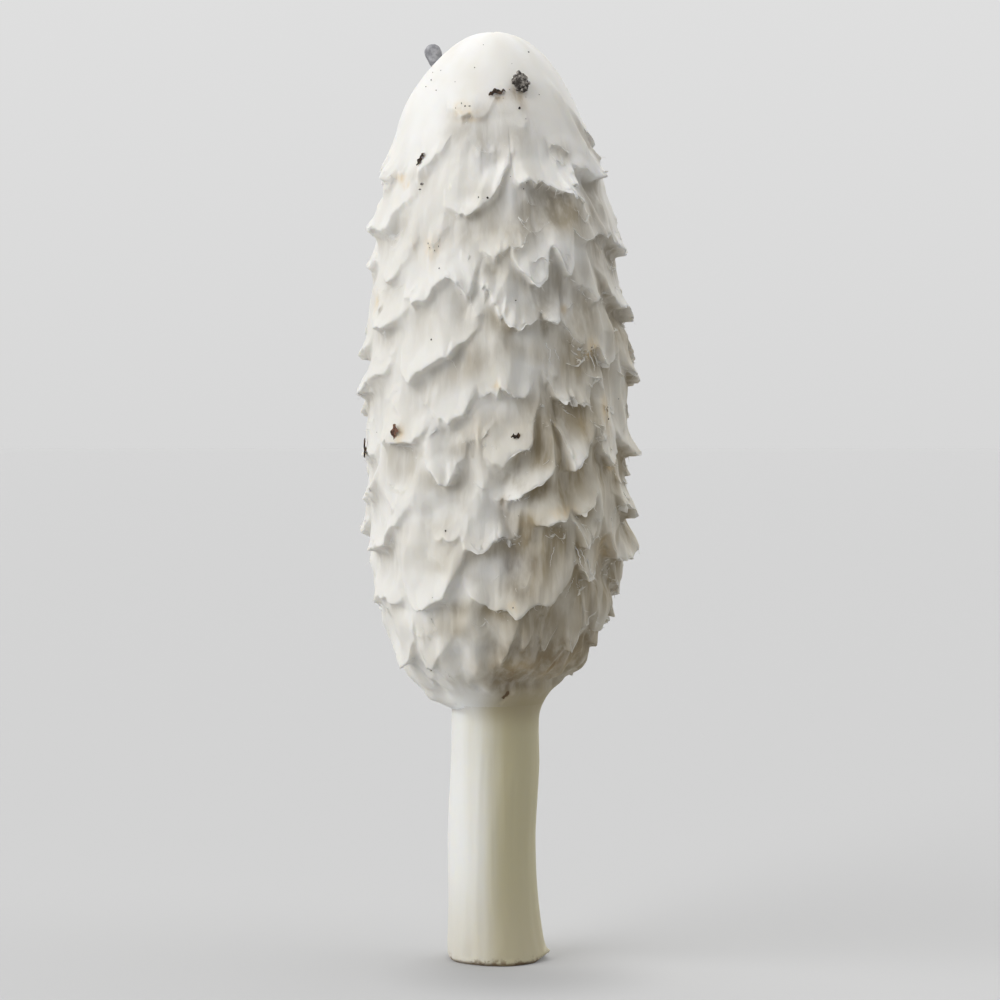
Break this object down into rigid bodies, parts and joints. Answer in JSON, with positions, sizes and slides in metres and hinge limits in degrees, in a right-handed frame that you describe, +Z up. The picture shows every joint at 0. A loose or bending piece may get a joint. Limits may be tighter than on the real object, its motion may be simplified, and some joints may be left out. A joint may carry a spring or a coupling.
{
  "type": "shaggy ink cap mushroom",
  "caption": "Picked shaggy ink cap mushroom standing on its cut stem: a tall white cap of lifted, torn scales with a smooth crown, and specks of soil.",
  "frame": {"origin": "centre of the stem's cut foot, on the surface it stands on", "axes": "+Z up the stem to the crown, -Y the front as pictured, +X to the front view's right"},
  "size_m": [0.055, 0.0568, 0.18],
  "materials": {
    "cap_skin": "matt, soft and fibrous, white with cream stains",
    "stem_flesh": "smooth, faintly silky, ivory",
    "soil": "rough, dark and crumbly",
    "grit": "dull grey",
    "leaf_litter": "dry, dark brown"
  },
  "bodies": {
    "root": {"cap": "cap_skin", "stem": "stem_flesh", "soil_crumb": "soil", "grit_grain": "grit", "leaf_shred_1": "leaf_litter", "leaf_shred_2": "leaf_litter", "leaf_shred_3": "leaf_litter", "leaf_shred_4": "leaf_litter", "leaf_shred_5": "leaf_litter"}
  },
  "joints": []
}
